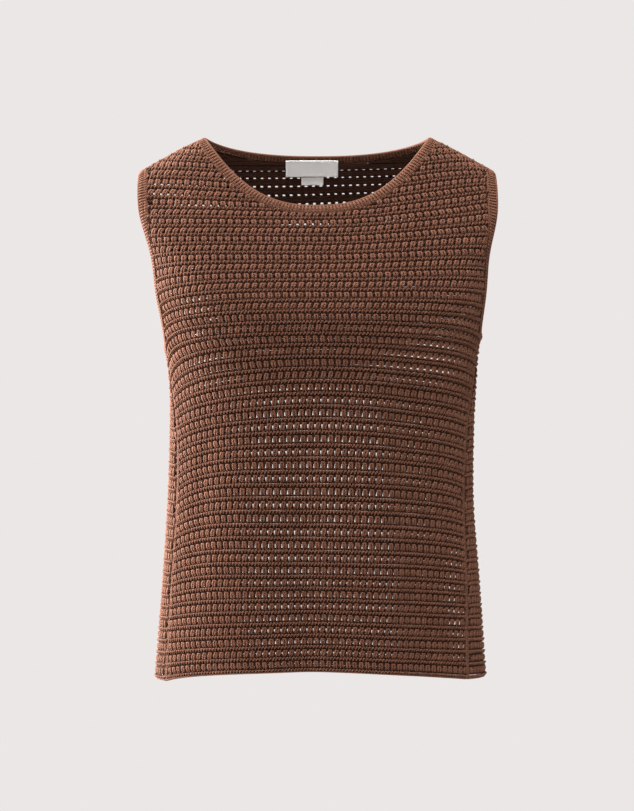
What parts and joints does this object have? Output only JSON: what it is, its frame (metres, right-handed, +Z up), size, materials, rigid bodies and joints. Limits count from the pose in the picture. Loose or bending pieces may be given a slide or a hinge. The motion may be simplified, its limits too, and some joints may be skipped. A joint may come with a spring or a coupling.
{
  "type": "knit tank top",
  "caption": "Sleeveless open-knit tank top with a round ribbed neck, trimmed armholes and a straight hem, filled out as worn.",
  "frame": {"origin": "between the wearer's shoulders, at the middle of the shoulder line", "axes": "+Z up, the front faces -Y, +X to the right as seen from the front"},
  "size_m": [0.3837, 0.2238, 0.5787],
  "materials": {
    "knit": "matt cotton yarn in an open knit of raised ridges, mid-brown",
    "rib": "matt cotton yarn in a fine folded rib, mid-brown",
    "label": "white woven satin tape, bare"
  },
  "bodies": {
    "root": {"front_panel": "knit", "back_panel": "knit", "neckband": "rib", "armhole_trim_left": "rib", "armhole_trim_right": "rib", "neck_label": "label", "size_tab": "label"}
  },
  "joints": []
}
